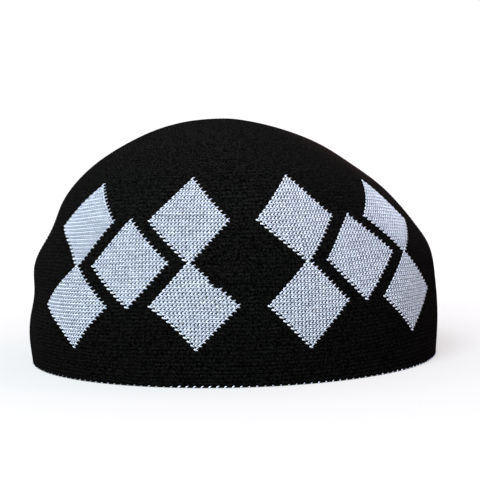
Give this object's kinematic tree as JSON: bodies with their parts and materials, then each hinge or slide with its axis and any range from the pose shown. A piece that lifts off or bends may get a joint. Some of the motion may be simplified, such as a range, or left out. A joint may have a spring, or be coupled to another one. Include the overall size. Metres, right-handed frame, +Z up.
{
  "type": "knitted prayer cap",
  "caption": "Knitted prayer cap: a soft black dome with white stacked diamonds, open at its rim, with a closed round crown.",
  "frame": {"origin": "middle of the cap's outer box, on the surface that the rim rests on", "axes": "+Z up from the rim to the crown, -Y towards the front with the cap's pattern, +X to the right as seen from the front"},
  "size_m": [0.1881, 0.1812, 0.109],
  "materials": {
    "black_and_white_knit": "matt knitted yarn, near black, with pale lilac white diamonds"
  },
  "bodies": {
    "root": {"cap_body": "black_and_white_knit"}
  },
  "joints": []
}
